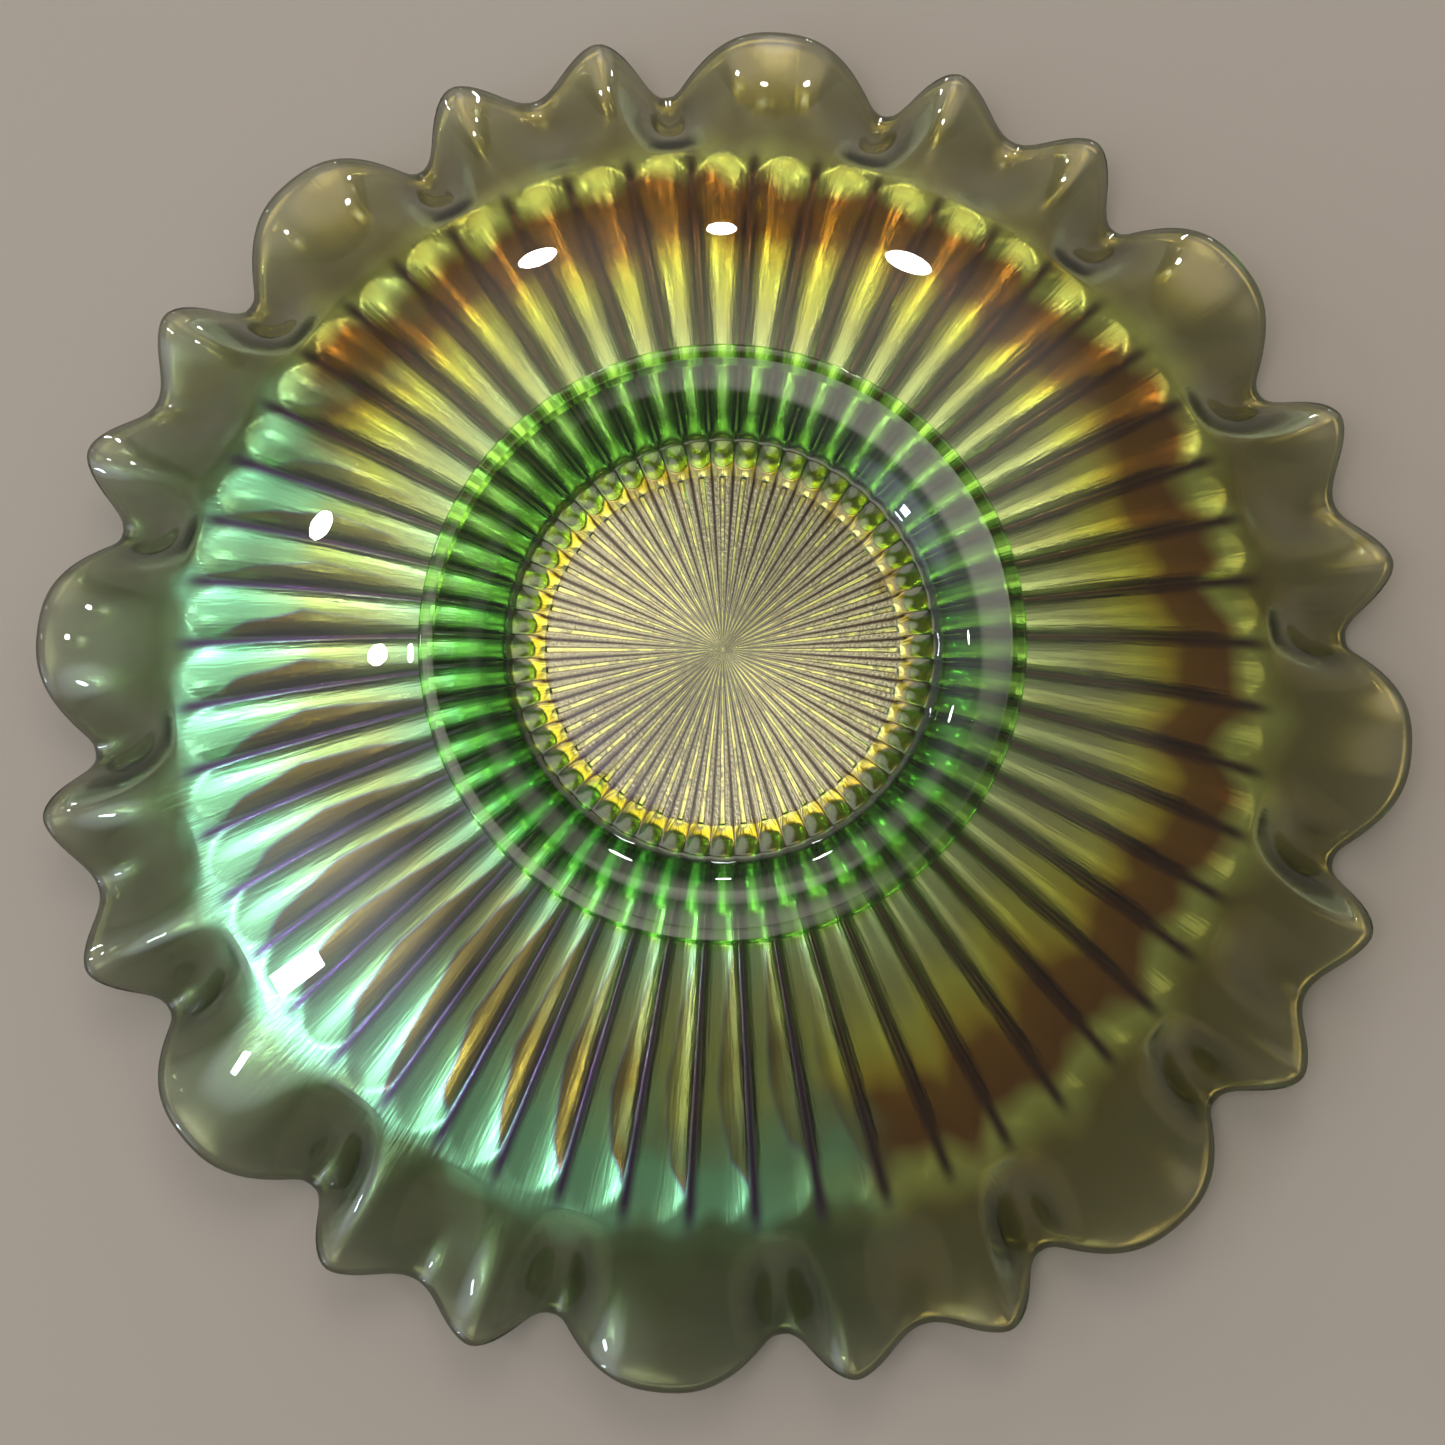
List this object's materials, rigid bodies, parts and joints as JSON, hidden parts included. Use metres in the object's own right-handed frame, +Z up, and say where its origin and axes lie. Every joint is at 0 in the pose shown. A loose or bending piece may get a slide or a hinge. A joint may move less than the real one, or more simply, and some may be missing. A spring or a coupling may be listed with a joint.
{
  "type": "glass bowl",
  "caption": "Shallow round pressed glass bowl with raised rays inside, a ruffled rim and a low collar foot, standing mouth down on its rim.",
  "frame": {"origin": "centre of the plane that the rim stands on, on the bowl's axis", "axes": "+Z up along the bowl's axis, from the mouth's rim to the foot, because the bowl lies mouth down; turned 180 degrees about X it stands on its foot for use"},
  "size_m": [0.2288, 0.2288, 0.058],
  "materials": {
    "green_glass": "glossy outside, lustred inside",
    "lustre_glass": "iridescent amber lustre"
  },
  "bodies": {
    "root": {"foot_collar": "green_glass", "base_plate": "green_glass", "base_star": "green_glass", "bowl_wall": "green_glass", "inner_rays": "lustre_glass", "ruffled_rim": "green_glass"}
  },
  "joints": []
}
